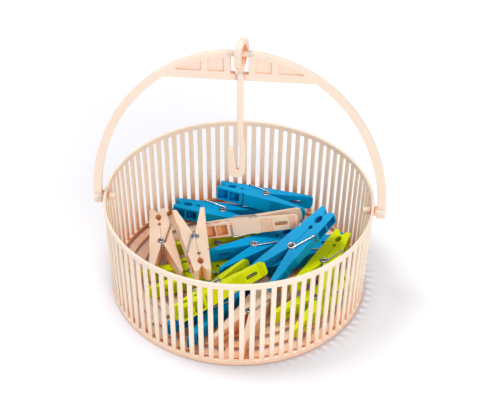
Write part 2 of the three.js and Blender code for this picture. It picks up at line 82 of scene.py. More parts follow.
class Slot(Enum):
    """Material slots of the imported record."""

    CREAM = "cream_plastic"
    CREAM_PEG = "cream_peg_plastic"
    BLUE = "blue_plastic"
    LIME = "lime_plastic"
    STEEL = "spring_steel"


# Outlines


def arc(centre: Point, radius: float, start: float, end: float, steps: int) -> Outline:
    """Points along a circular arc.

    Args:
        centre: Centre of the circle.
        radius: Radius of the circle.
        start: First angle in degrees.
        end: Last angle in degrees.
        steps: Number of equal steps.

    Returns:
        The points from the first angle to the last.
    """
    angles = [math.radians(start + (end - start) * step / steps) for step in range(steps + 1)]
    return [(centre[0] + radius * math.cos(a), centre[1] + radius * math.sin(a)) for a in angles]


def circle(radius: float, sides: int) -> Outline:
    """Corners of a many-sided circle about the origin."""
    return arc((0.0, 0.0), radius, 0, FULL_TURN, sides)[:-1]


def ellipse(half_width: float, height: float, start: float, end: float, steps: int) -> Outline:
    """Points along an upright ellipse about the origin, with its angles and steps as in an arc."""
    return [(half_width * x, height * z) for x, z in arc((0.0, 0.0), 1.0, start, end, steps)]


def rounded(low: Point, high: Point, radius: float, steps: int = 4) -> Outline:
    """A rectangle with round corners.

    Args:
        low: Lowest corner.
        high: Highest corner.
        radius: Radius of the corners.
        steps: Steps in each corner.

    Returns:
        The outline, anticlockwise.
    """
    left, right = low[0] + radius, high[0] - radius
    bottom, top = low[1] + radius, high[1] - radius
    centres = [(right, top), (left, top), (left, bottom), (right, bottom)]
    corners = [arc(centre, radius, QUARTER_TURN * index, QUARTER_TURN * (index + 1), steps)
               for index, centre in enumerate(centres)]
    return [point for corner in corners for point in corner]


def ribbon(line: Sequence[Triple]) -> Outline:
    """The outline of a strip along a centre line.

    Args:
        line: Points of the centre line, each with the strip's half width there.

    Returns:
        The closed outline.
    """
    left, right = [], []
    for index, (x, z, half) in enumerate(line):
        before = line[max(index - 1, 0)]
        after = line[min(index + 1, len(line) - 1)]
        run = math.hypot(after[0] - before[0], after[1] - before[1])
        across = (-half * (after[1] - before[1]) / run, half * (after[0] - before[0]) / run)
        left.append((x + across[0], z + across[1]))
        right.append((x - across[0], z - across[1]))
    return right + left[::-1]


# Meshes


TIP_REACH = 1 / 3
TIP_WIDTH = 1 / 2


def rotation(degrees: float, axis: str) -> Matrix:
    """A rotation about one of the main axes."""
    return Matrix.Rotation(math.radians(degrees), 4, axis)


def linked(name: str, data: bpy.types.ID) -> Piece:
    """Makes an object of a mesh, a camera or a lamp and links it to the scene."""
    made = bpy.data.objects.new(name, data)
    bpy.context.scene.collection.objects.link(made)
    return made


def object_of(name: str, shape: Shape) -> Piece:
    """Makes a linked object of a bmesh, which is freed."""
    mesh = bpy.data.meshes.new(name)
    shape.to_mesh(mesh)
    shape.free()
    return linked(name, mesh)


def finished(name: str, shape: Shape) -> Piece:
    """Turns a bmesh in millimetres into an object in metres.

    Args:
        name: Name of the object.
        shape: The bmesh, which is freed.

    Returns:
        The linked object.
    """
    bmesh.ops.recalc_face_normals(shape, faces=shape.faces)
    bmesh.ops.scale(shape, vec=(MM, MM, MM), verts=shape.verts)
    return object_of(name, shape)


def loft(name: str, rings: Sequence[Sequence[Vector]], closed: bool = False) -> Piece:
    """A skin over rings of points, all with the same count.

    Args:
        name: Name of the object.
        rings: The rings in order, in millimetres.
        closed: Whether the last ring meets the first; otherwise both ends are capped.

    Returns:
        The object.
    """
    shape = bmesh.new()
    corners = [[shape.verts.new(point) for point in ring] for ring in rings]
    count = len(corners[0])
    pairs = list(zip(corners, corners[1:]))
    if closed:
        pairs.append((corners[-1], corners[0]))
    else:
        shape.faces.new(corners[0])
        shape.faces.new(corners[-1][::-1])
    for first, second in pairs:
        for i in range(count):
            j = (i + 1) % count
            shape.faces.new((first[i], first[j], second[j], second[i]))
    return finished(name, shape)


def prism(name: str, outline: Outline, start: float, end: float) -> Piece:
    """A plate whose outline is drawn in X and Z, between two places along Y."""
    return loft(name, [[Vector((x, y, z)) for x, z in outline] for y in (start, end)])


def slab(name: str, outline: Outline, start: float, end: float) -> Piece:
    """A plate whose outline is drawn in X and Y, between two heights."""
    return loft(name, [[Vector((x, y, z)) for x, y in outline] for z in (start, end)])


def turned(name: str, profile: Outline, sides: int) -> Piece:
    """A ring about Z whose closed profile is drawn in radius and height."""
    rings = [[Vector((r * x, r * y, z)) for r, z in profile] for x, y in circle(1.0, sides)]
    return loft(name, rings, closed=True)


def round_bar(name: str, stations: Sequence[Point], sides: int, height: float = 0.0) -> Piece:
    """A bar along X at a height, through stations that each give a place and the radius there."""
    rings = [[Vector((x, y, height + z)) for y, z in circle(radius, sides)]
             for x, radius in stations]
    return loft(name, rings)


def swept(name: str, path: Sequence[Vector], radius: float, sides: int) -> Piece:
    """A round wire along a path, with its ends eased.

    Args:
        name: Name of the object.
        path: Points of the wire's middle, in millimetres.
        radius: Radius of the wire.
        sides: Sides of its section.

    Returns:
        The object.
    """
    across = (path[1] - path[0]).orthogonal().normalized()
    rings = []
    last = len(path) - 1
    for index, point in enumerate(path):
        along = (path[min(index + 1, last)] - path[max(index - 1, 0)]).normalized()
        across = (across - along * across.dot(along)).normalized()
        over = along.cross(across)
        spokes = [across * c + over * s for c, s in circle(radius, sides)]
        tip = along * radius * TIP_REACH
        if index == 0:
            rings.append([point - tip + spoke * TIP_WIDTH for spoke in spokes])
        rings.append([point + spoke for spoke in spokes])
        if index == last:
            rings.append([point + tip + spoke * TIP_WIDTH for spoke in spokes])
    return loft(name, rings)


def baked(piece: Piece) -> Piece:
    """Applies a piece's modifiers to its mesh."""
    graph = bpy.context.evaluated_depsgraph_get()
    mesh = bpy.data.meshes.new_from_object(piece.evaluated_get(graph))
    old = piece.data
    piece.modifiers.clear()
    piece.data = mesh
    bpy.data.meshes.remove(old)
    return piece


def joined(name: str, pieces: Sequence[Piece]) -> Piece:
    """Gathers several pieces in one mesh.

    Args:
        name: Name of the new object.
        pieces: The pieces, which are removed.

    Returns:
        The object.
    """
    shape = bmesh.new()
    for piece in pieces:
        mesh = piece.data
        mesh.transform(piece.matrix_world)
        shape.from_mesh(mesh)
        bpy.data.objects.remove(piece)
        bpy.data.meshes.remove(mesh)
    return object_of(name, shape)


def repeated(name: str, piece: Piece, count: int, first: float = 0.0) -> Piece:
    """Gathers evenly turned copies of a piece about Z in one mesh.

    Args:
        name: Name of the new object.
        piece: The piece, which is removed.
        count: How many copies fill the turn.
        first: Place of the first copy, in copies.

    Returns:
        The object.
    """
    shape = bmesh.new()
    for index in range(count):
        copy = piece.data.copy()
        copy.transform(rotation(FULL_TURN * (index + first) / count, "Z"))
        shape.from_mesh(copy)
        bpy.data.meshes.remove(copy)
    bpy.data.objects.remove(piece)
    return object_of(name, shape)


def carved(piece: Piece, cutters: Sequence[Piece], keep: bool = False) -> Piece:
    """Cuts a piece.

    Args:
        piece: The piece to cut.
        cutters: The cutters, which are removed.
        keep: Whether what lies inside the cutters stays; otherwise it goes.

    Returns:
        The piece.
    """
    cutter = joined("cutter", cutters)
    cut = piece.modifiers.new("cut", "BOOLEAN")
    cut.operation = "INTERSECT" if keep else "DIFFERENCE"
    cut.solver = "EXACT"
    cut.object = cutter
    bpy.context.view_layer.update()
    baked(piece)
    bpy.data.objects.remove(cutter)
    return piece


def flat_faces_kept(piece: Piece) -> Piece:
    """Keeps the flat faces of a smoothly shaded piece flat."""
    piece.modifiers.new("flat faces", "WEIGHTED_NORMAL").keep_sharp = True
    return piece


def smoothed(piece: Piece, corner: float = 50.0) -> Piece:
    """Shades a piece smoothly between corners of a least angle, with flat faces kept flat."""
    piece.data.shade_smooth()
    piece.data.set_sharp_from_angle(angle=math.radians(corner))
    return flat_faces_kept(piece)


def eased(piece: Piece, width: float, segments: int = 2, corner: float = 30.0) -> Piece:
    """Rounds a piece's edges and shades it smoothly.

    Args:
        piece: The piece.
        width: Width of the rounding in millimetres.
        segments: Steps of the rounding.
        corner: Least angle of an edge that is rounded, in degrees.

    Returns:
        The piece.
    """
    bevel = piece.modifiers.new("eased", "BEVEL")
    bevel.width = width * MM
    bevel.segments = segments
    bevel.limit_method = "ANGLE"
    bevel.angle_limit = math.radians(corner)
    bevel.miter_outer = "MITER_ARC"
    return smoothed(baked(piece))


# Finishes


WHITE = (1.0, 1.0, 1.0)
OPAQUE = 1.0
MIX_FIRST, MIX_SECOND, MIX_RESULT = 6, 7, 2
FLOW_DETAIL = 2.0
GRAIN_DETAIL = 3.0
NOISE_MIDDLE = 0.5
# Pointiness ranges for the painted highlight on edges and the painted shade in creases, and the
# openness range for painted shade where the surface is shut in.
EDGE_HIGHLIGHT_RANGE = (0.52, 0.62)
CREASE_SHADE_RANGE = (0.49, 0.4)
SHADE_RANGE = (0.72, 0.2)
SHADE_SAMPLES = 6
SURFACE_INPUTS = {"Flow Scale": 40.0, "Grain Scale": 1800.0, "Roughness": 0.4,
                  "Roughness Spread": 0.1, "Shade Reach": 0.02}
SURFACE_OUTPUTS = ("Flow", "Edge Highlight", "Crease Shade", "Shade", "Roughness", "Height")


class NodeSheet:
    """Adds and links the nodes of one shader tree."""

    def __init__(self, tree: bpy.types.NodeTree) -> None:
        """Starts on an empty tree."""
        self.tree = tree
        tree.nodes.clear()

    def put(self, socket: Socket, value: object) -> None:
        """Links a source to a socket or sets its value, where a colour becomes opaque."""
        if isinstance(value, Socket):
            self.tree.links.new(value, socket)
        elif isinstance(value, tuple) and len(value) < len(socket.default_value):
            socket.default_value = (*value, OPAQUE)
        else:
            socket.default_value = value

    def add(self, kind: str, values: dict[str | int, object] | None = None,
            **settings: object) -> bpy.types.Node:
        """Adds a node.

        Args:
            kind: Node type, whole if it starts with Node and else without its ShaderNode prefix.
            values: Input values or sources by socket name or place.
            settings: Properties of the node.

        Returns:
            The node.
        """
        node = self.tree.nodes.new(kind if kind.startswith("Node") else f"ShaderNode{kind}")
        for key, value in settings.items():
            setattr(node, key, value)
        for label, value in (values or {}).items():
            self.put(node.inputs[label], value)
        return node

    def mixed(self, factor: object, first: object, second: object) -> Socket:
        """Mixes two colours and gives the result's socket."""
        values = {"Factor": factor, MIX_FIRST: first, MIX_SECOND: second}
        return self.add("Mix", values, data_type="RGBA").outputs[MIX_RESULT]

    def sums(self, operation: str, *values: object) -> Socket:
        """Joins numbers by a Math node and gives the result's socket."""
        return self.add("Math", dict(enumerate(values)), operation=operation).outputs[0]

    def ramp(self, value: Socket, start: float, end: float) -> Socket:
        """Turns the numbers between two into 0 to 1 and gives the result's socket."""
        values = {"Value": value, "From Min": start, "From Max": end}
        return self.add("MapRange", values).outputs[0]

    def noise(self, place: Socket, scale: Socket, detail: float) -> Socket:
        """Adds a noise and gives its value's socket."""
        values = {"Vector": place, "Scale": scale, "Detail": detail}
        return self.add("TexNoise", values).outputs[0]

    def openness(self, reach: object, samples: int) -> Socket:
        """Measures how open a place is and gives the result's socket."""
        return self.add("AmbientOcclusion", {"Distance": reach}, samples=samples).outputs["AO"]

    def principled(self, values: dict[str | int, object]) -> None:
        """Adds a Principled shader and makes it the material's surface."""
        shader = self.add("BsdfPrincipled", values)
        self.add("OutputMaterial", {"Surface": shader.outputs[0]})


def new_material(name: str) -> tuple[bpy.types.Material, NodeSheet]:
    """Makes a material and the empty sheet of its nodes."""
    made = bpy.data.materials.new(name)
    made.use_nodes = True
    return made, NodeSheet(made.node_tree)


def moulded_surface() -> bpy.types.NodeTree:
    """Builds the group for a moulded or drawn surface: flow, grain, painted highlights on edges,
    painted shade in creases and painted shade where the surface is shut in.
    """
    tree = bpy.data.node_groups.new("moulded surface", "ShaderNodeTree")
    number = "NodeSocketFloat"
    for label, value in SURFACE_INPUTS.items():
        socket = tree.interface.new_socket(label, in_out="INPUT", socket_type=number)
        socket.default_value = value
    for label in SURFACE_OUTPUTS:
        tree.interface.new_socket(label, in_out="OUTPUT", socket_type=number)
    sheet = NodeSheet(tree)
    given = sheet.add("NodeGroupInput").outputs
    place = sheet.add("TexCoord").outputs["Object"]
    flow = sheet.noise(place, given["Flow Scale"], FLOW_DETAIL)
    bend = sheet.add("NewGeometry").outputs["Pointiness"]
    swing = sheet.sums("SUBTRACT", flow, NOISE_MIDDLE)
    sheet.add("NodeGroupOutput", {
        "Flow": flow,
        # painted highlight on convex edges, from pointiness
        "Edge Highlight": sheet.ramp(bend, *EDGE_HIGHLIGHT_RANGE),
        # painted shade in creases and recesses, from pointiness
        "Crease Shade": sheet.ramp(bend, *CREASE_SHADE_RANGE),
        # painted shade where the surface is shut in, from ambient occlusion
        "Shade": sheet.ramp(sheet.openness(given["Shade Reach"], SHADE_SAMPLES), *SHADE_RANGE),
        "Roughness": sheet.sums("MULTIPLY_ADD", swing, given["Roughness Spread"],
                                given["Roughness"]),
        "Height": sheet.noise(place, given["Grain Scale"], GRAIN_DETAIL),
    })
    return tree


@dataclass(frozen=True, kw_only=True)
class Finish:
    """A surface with a broad flow, a fine grain and an uneven roughness."""

    slot: Slot
    roughness: float
    roughness_spread: float = 0.12
    flow_scale: float = 35.0
    flow_share: float = 0.12
    grain_scale: float = 2200.0
    grain_depth: float = 0.02
    grain_strength: float = 0.5
    shade_reach: float = 25.0

    def own_values(self, sheet: NodeSheet, skin: bpy.types.NodeOutputs) -> dict[str, object]:
        """Gives the shader values of one kind of finish by socket name, from the group's skin."""
        raise NotImplementedError

    def material(self, surface: bpy.types.NodeTree) -> bpy.types.Material:
        """Builds the material.

        Args:
            surface: The moulded surface group.

        Returns:
            The material.
        """
        made, sheet = new_material(self.slot.value)
        skin = sheet.add("Group", {
            "Flow Scale": self.flow_scale,
            "Grain Scale": self.grain_scale,
            "Roughness": self.roughness,
            "Roughness Spread": self.roughness_spread,
            "Shade Reach": self.shade_reach * MM,
        }, node_tree=surface).outputs
        bump = sheet.add("Bump", {"Height": skin["Height"], "Distance": self.grain_depth * MM,
                                  "Strength": self.grain_strength})
        values = self.own_values(sheet, skin)
        sheet.principled({**values, "Roughness": skin["Roughness"], "Normal": bump.outputs[0]})
        return made


@dataclass(frozen=True, kw_only=True)
class Plastic(Finish):
    """A moulded plastic: its body colour, a tint for painted shade in creases and shut-in places
    that also colours its random flow, and a paler colour for painted highlights on its edges.
    """

    body: Colour
    # Tint of painted shade in creases and shut-in places, and of the random flow.
    painted_shade_and_flow_tint: Colour
    # Paler colour of painted highlights on edges.
    edge: Colour
    # Shares of painted shade in shut-in places, painted shade in creases and painted edge
    # highlights.
    shade_share: float
    crease_shade_share: float = 0.3
    edge_highlight_share: float = 0.3
    glow_share: float = 0.0
    glow_reach: Colour = (1.0, 0.5, 0.25)
    glow_depth: float = 3.0
    shine: float = 0.3

    def own_values(self, sheet: NodeSheet, skin: bpy.types.NodeOutputs) -> dict[str, object]:
        """Tints the body colour by the surface's masks, with random flow, painted shade and painted
        edge highlights, and gives plastic its glow and shine.
        """
        colour = self.body
        # In turn: random flow, painted shade in creases, painted highlights on edges and painted
        # shade where shut in.
        for mask, share, tint in (("Flow", self.flow_share, self.painted_shade_and_flow_tint),
                                  ("Crease Shade", self.crease_shade_share, self.painted_shade_and_flow_tint),
                                  ("Edge Highlight", self.edge_highlight_share, self.edge),
                                  ("Shade", self.shade_share, self.painted_shade_and_flow_tint)):
            colour = sheet.mixed(sheet.sums("MULTIPLY", skin[mask], share), colour, tint)
        return {"Base Color": colour, "Subsurface Weight": self.glow_share,
                "Subsurface Radius": self.glow_reach, "Subsurface Scale": self.glow_depth * MM,
                "Specular IOR Level": self.shine}


@dataclass(frozen=True, kw_only=True)
class Steel(Finish):
    """Bright drawn steel wire, a little duller in patches."""

    slot: Slot = Slot.STEEL
    bright: Colour = (0.5, 0.51, 0.54)
    dull: Colour = (0.16, 0.16, 0.18)
    roughness: float = 0.2
    roughness_spread: float = 0.15
    flow_scale: float = 150.0
    flow_share: float = 0.4
    grain_scale: float = 4000.0
    grain_depth: float = 0.01
    grain_strength: float = 0.4

    def own_values(self, sheet: NodeSheet, skin: bpy.types.NodeOutputs) -> dict[str, object]:
        """Mixes bright and dull steel by the flow."""
        patches = sheet.sums("MULTIPLY", skin["Flow"], self.flow_share)
        return {"Base Color": sheet.mixed(patches, self.bright, self.dull), "Metallic": 1.0}


class Finishes:
    """The object's materials, one for each slot."""

    def __init__(self) -> None:
        """Builds the shared group and every material."""
        surface = moulded_surface()
        # Besides a body colour, each plastic gets a warm or dark tint for painted shade and a paler
        # colour for painted highlights on edges.
        cream = {"edge": (1.0, 0.88, 0.76), "glow_share": 0.35, "glow_depth": 3.5}
        finishes = [
            Plastic(slot=Slot.CREAM, body=(0.93, 0.79, 0.67), painted_shade_and_flow_tint=(0.9, 0.33, 0.07),
                    roughness=0.42, crease_shade_share=0.05, shade_share=0.95, shade_reach=42.0, **cream),
            Plastic(slot=Slot.CREAM_PEG, body=(0.84, 0.65, 0.5), painted_shade_and_flow_tint=(0.86, 0.3, 0.05),
                    roughness=0.38, shade_share=0.85, **cream),
            Plastic(slot=Slot.BLUE, body=(0.0, 0.35, 0.7), painted_shade_and_flow_tint=(0.0, 0.06, 0.34),
                    edge=(0.0, 0.5, 0.85), roughness=0.38, shade_share=0.5, shine=0.06),
            Plastic(slot=Slot.LIME, body=(0.76, 0.86, 0.0), painted_shade_and_flow_tint=(0.22, 0.36, 0.0),
                    edge=(0.88, 0.94, 0.03), roughness=0.38, shade_share=0.5, shine=0.07),
            Steel(),
        ]
        self.materials = {finish.slot: finish.material(surface) for finish in finishes}

    def dress(self, piece: Piece, slot: Slot, body: str) -> None:
        """Gives a piece its material and lets it ride on a body."""
        piece.data.materials.clear()
        piece.data.materials.append(self.materials[slot])
        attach(piece, body)


# Places read from the frame


def joint_named(name: str) -> dict:
    """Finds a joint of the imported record."""
    return next(joint for joint in frame["joints"] if joint["name"] == name)


def pivot_of(name: str) -> Vector:
    """The place of a joint's axis, in millimetres."""
    return Vector(joint_named(name)["pos_m"]) / MM


def middle_of(node: str) -> Vector:
    """The middle of a CAD node's surface, weighted by area, in metres."""
    mesh = frame["nodes"][node].data
    total = sum(face.area for face in mesh.polygons)
    return sum((face.center * face.area for face in mesh.polygons), Vector()) / total


# Sub-assemblies


@dataclass
class Moulding:
    """Cream pieces on one body, built in place of a CAD node, which is hidden."""

    finishes: Finishes
    node = ""
    body = BASE_BODY

    def pieces(self) -> list[Piece]:
        """Builds the pieces."""
        raise NotImplementedError

    def build(self) -> list[Piece]:
        """Builds and dresses the moulding.

        Returns:
            Its pieces.
        """
        pieces = self.pieces()
        for piece in pieces:
            self.finishes.dress(piece, Slot.CREAM, self.body)
        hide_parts(self.node)
        return pieces


@dataclass
class BasketWall(Moulding):
    """Rim and foot band joined by upright slats."""

    node = "basket_wall"
    rim_height: float = 5.5
    rim_thickness: float = 2.4
    band_height: float = 5.5
    band_thickness: float = 3.0
    band_round: float = 0.88
    base_inset: float = 3.0
    slat_count: int = 84
    slat_start: float = 0.5
    slat_width: float = 4.2
    slat_thickness: float = 1.8
    slat_inset: float = 0.4
    slat_slope: float = 1.6
    slat_round: float = 0.55
    slat_corner: float = 20.0
    sides: int = 240
    rim_radius: float = field(init=False)
    height: float = field(init=False)

    def __post_init__(self) -> None:
        """Reads the outer sizes from the frame."""
        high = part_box(self.node)[1] / MM
        self.rim_radius = high.x
        self.height = high.z

    def radius_at(self, height: float) -> float:
        """Outer radius of the wall at a height."""
        return self.rim_radius - self.base_inset * (1 - height / self.height)

    def band(self, name: str, radius: float, thickness: float, low: float, high: float) -> Piece:
        """Builds a band about Z with round edges."""
        profile = rounded((radius - thickness, low), (radius, high), self.band_round)
        return smoothed(turned(name, profile, self.sides))

    def slats(self) -> Piece:
        """Builds the slats, whose sloping tops stand proud of the rim inside."""
        foot = self.band_height / 2
        head = self.height - self.rim_height / 2
        shoulder = head - self.slat_slope
        outer = [self.radius_at(height) - self.slat_inset for height in (foot, head, shoulder)]
        outline = [
            (outer[0] - self.slat_thickness, foot),
            (outer[0], foot),
            (outer[1], head),
            (self.rim_radius - self.rim_thickness / 2, head),
            (outer[2] - self.slat_thickness, shoulder),
        ]
        slat = prism("slat", outline, -self.slat_width / 2, self.slat_width / 2)
        slat = baked(eased(slat, self.slat_round, corner=self.slat_corner))
        return smoothed(repeated("wall_slats", slat, self.slat_count, self.slat_start))

    def pieces(self) -> list[Piece]:
        """Builds the slats and the two bands."""
        rim = self.band("rim_band", self.rim_radius, self.rim_thickness,
                        self.height - self.rim_height, self.height)
        foot = self.band("foot_band", self.radius_at(0), self.band_thickness,
                         0.0, self.band_height)
        return [self.slats(), rim, foot]


@dataclass
class BasketFloor(Moulding):
    """Rings on radial ribs inside the foot band."""

    node = "basket_floor"
    ring_pitch: float = 12.8
    ring_width: float = 7.5
    ring_round: float = 0.7
    rib_count: int = 8
    rib_width: float = 5.0
    rib_crown: float = 0.35
    rib_round: float = 0.35
    rib_corner: float = 0.7
    rib_corner_steps: int = 2
    sides: int = 160
    low: float = field(init=False)
    high: float = field(init=False)
    reach: float = field(init=False)

    def __post_init__(self) -> None:
        """Reads the outer sizes from the frame."""
        low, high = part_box(self.node)
        self.low = low.z / MM
        self.high = high.z / MM
        self.reach = high.x / MM

    def rings(self) -> Piece:
        """Builds the rings, as many as fit."""
        half = self.ring_width / 2
        rings = []
        for index in range(int(self.reach / self.ring_pitch)):
            radius = self.ring_pitch * (index + 1)
            profile = rounded((radius - half, self.low), (radius + half, self.high),
                              self.ring_round)
            rings.append(turned("ring", profile, self.sides))
        return smoothed(joined("floor_rings", rings))

    def ribs(self) -> Piece:
        """Builds the ribs, a little lower than the rings."""
        plan = rounded((self.ring_pitch, -self.rib_width / 2), (self.reach, self.rib_width / 2),
                       self.rib_corner, self.rib_corner_steps)
        rib = slab("rib", plan, self.low, self.high - self.rib_crown)
        return eased(repeated("floor_ribs", rib, self.rib_count), self.rib_round)

    def pieces(self) -> list[Piece]:
        """Builds the rings and the ribs."""
        return [self.rings(), self.ribs()]


@dataclass
class BailHandle(Moulding):
    """Flat arch with a ribbed crown plate, and a boss, pin and head at each foot."""

    wall: BasketWall
    node = "bail_handle"
    body = "bail"
    depth: float = 5.0
    leg_thickness: float = 7.2
    crown_bar: float = 5.2
    chord_height: float = 7.4
    crown_drop: float = 26.0
    slot_half: float = 7.15
    slot_sink: float = 1.6
    slot_corner: float = 1.0
    slot_corner_steps: int = 3
    rib_width: float = 5.4
    recess_width: float = 12.7
    recess_depth: float = 1.4
    recess_steps: int = 8
    foot_drop: float = 6.5
    foot_corner: float = 2.4
    foot_corner_steps: int = 5
    boss_radius: float = 4.3
    ear_radius: float = 4.7
    ear_tip_radius: float = 4.3
    ear_swell: float = 1 / 6
    ear_tip: float = 1.0
    ear_sink: float = 0.25
    pin_radius: float = 1.85
    pin_head_radius: float = 3.2
    pin_tip_radius: float = 2.9
    pin_head_length: float = 6.4
    seat_gap: float = 0.35
    edge_round: float = 0.5
    corner: float = 40.0
    arch_steps: int = 112
    leg_steps: int = 40
    bar_sides: int = 32
    overrun: float = 5.0
    half_span: float = field(init=False)
    rise: float = field(init=False)
    pivot: float = field(init=False)

    def __post_init__(self) -> None:
        """Reads the span, rise and pivot from the frame."""
        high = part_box(self.node)[1] / MM
        self.pivot = pivot_of("bail_fold").z
        self.half_span = high.x
        self.rise = high.z - self.pivot

    def arch_height(self, x: float) -> float:
        """Height of the arch's outer edge above the pivot."""
        return self.rise * math.sqrt(1 - (x / self.half_span) ** 2)

    def outline(self) -> Outline:
        """The arch with its chord, drawn about the pivot."""
        inner_span = self.half_span - self.leg_thickness
        inner_rise = self.rise - self.crown_bar
        chord = math.degrees(math.asin((self.rise - self.crown_drop) / inner_rise))
        outer = ellipse(self.half_span, self.rise, 0, HALF_TURN, self.arch_steps)
        left = ellipse(inner_span, inner_rise, HALF_TURN, HALF_TURN - chord, self.leg_steps)
        right = ellipse(inner_span, inner_rise, chord, 0, self.leg_steps)
        corner = self.foot_corner
        left_foot = arc((-self.half_span + corner, -self.foot_drop + corner), corner,
                        HALF_TURN, HALF_TURN + QUARTER_TURN, self.foot_corner_steps)
        left_foot.append((-inner_span, -self.foot_drop))
        right_foot = [(-x, z) for x, z in reversed(left_foot)]
        return [*outer, *left_foot, *left, *right, *right_foot]

    def recess_outlines(self, side: int) -> list[Outline]:
        """The square and the wedge recess on one side of the crown."""
        near = self.slot_half + self.rib_width
        far = near + self.recess_width
        chord_top = self.rise - self.crown_drop + self.chord_height
        top = [self.arch_height(x) - self.crown_bar for x in (near, far)]
        square = [(near, chord_top), (far, chord_top), (far, top[1]), (near, top[0])]
        start = far + self.rib_width
        end = self.half_span * math.sqrt(1 - ((chord_top + self.crown_bar) / self.rise) ** 2)
        along = [end + (start - end) * step / self.recess_steps
                 for step in range(1, self.recess_steps + 1)]
        wedge = [(start, chord_top), (end, chord_top)]
        wedge += [(x, self.arch_height(x) - self.crown_bar) for x in along]
        return [[(side * x, z) for x, z in points] for points in (square, wedge)]

    def arch(self) -> Piece:
        """Builds the arch with its slot and recesses."""
        body = prism("arch", self.outline(), -self.depth / 2, self.depth / 2)
        slot_floor = self.rise - self.crown_drop + self.chord_height - self.slot_sink
        slot = rounded((-self.slot_half, slot_floor), (self.slot_half, self.rise + self.overrun),
                       self.slot_corner, self.slot_corner_steps)
        cutters = [prism("slot", slot, -self.overrun, self.overrun)]
        floor = self.depth / 2 - self.recess_depth
        for side in (-1, 1):
            for outline in self.recess_outlines(side):
                cutters.append(prism("recess", outline, floor, self.depth))
                cutters.append(prism("recess", outline, -self.depth, -floor))
        return eased(carved(body, cutters), self.edge_round)

    def foot(self, side: int) -> list[Piece]:
        """Builds the ear, boss, pin and pin head of one foot."""
        wall = self.wall
        inner_span = self.half_span - self.leg_thickness
        wall_face = wall.rim_radius + self.seat_gap
        slat_face = wall.radius_at(self.pivot) - wall.slat_inset - wall.slat_thickness
        head_face = slat_face - self.seat_gap
        head_end = head_face - self.pin_head_length
        ease = self.edge_round
        rows = {
            "ear": [(inner_span, self.ear_radius),
                    (self.half_span - self.ear_tip, self.ear_tip_radius + self.ear_swell),
                    (self.half_span - self.ear_sink, self.ear_tip_radius - ease)],
            "boss": [(wall_face, self.boss_radius - ease), (wall_face + ease, self.boss_radius),
                     (inner_span + self.leg_thickness / 2, self.boss_radius)],
            "pin": [(head_face - self.pin_head_length / 2, self.pin_radius),
                    (inner_span, self.pin_radius)],
            "head": [(head_end, self.pin_tip_radius - ease), (head_end + ease, self.pin_tip_radius),
                     (head_face - ease, self.pin_head_radius),
                     (head_face, self.pin_head_radius - ease)],
        }
        pieces = []
        for label, stations in rows.items():
            bar = round_bar(label, stations, self.bar_sides)
            bar.data.transform(Matrix.Diagonal((side, 1, 1, 1)))
            if side < 0:
                bar.data.flip_normals()
            pieces.append(bar)
        return pieces

    def pieces(self) -> list[Piece]:
        """Builds the bail in one piece."""
        bar_end = self.slot_half + self.rib_width / 2
        bar_radius = self.crown_bar / 2
        bar = round_bar("bar", [(-bar_end, bar_radius), (bar_end, bar_radius)], self.bar_sides,
                        self.rise - bar_radius)
        bars = smoothed(joined("bars", [bar, *self.foot(-1), *self.foot(1)]), self.corner)
        bail = joined("bail", [baked(self.arch()), baked(bars)])
        bail.data.transform(Matrix.Translation((0, 0, self.pivot * MM)))
        return [smoothed(bail, self.corner)]


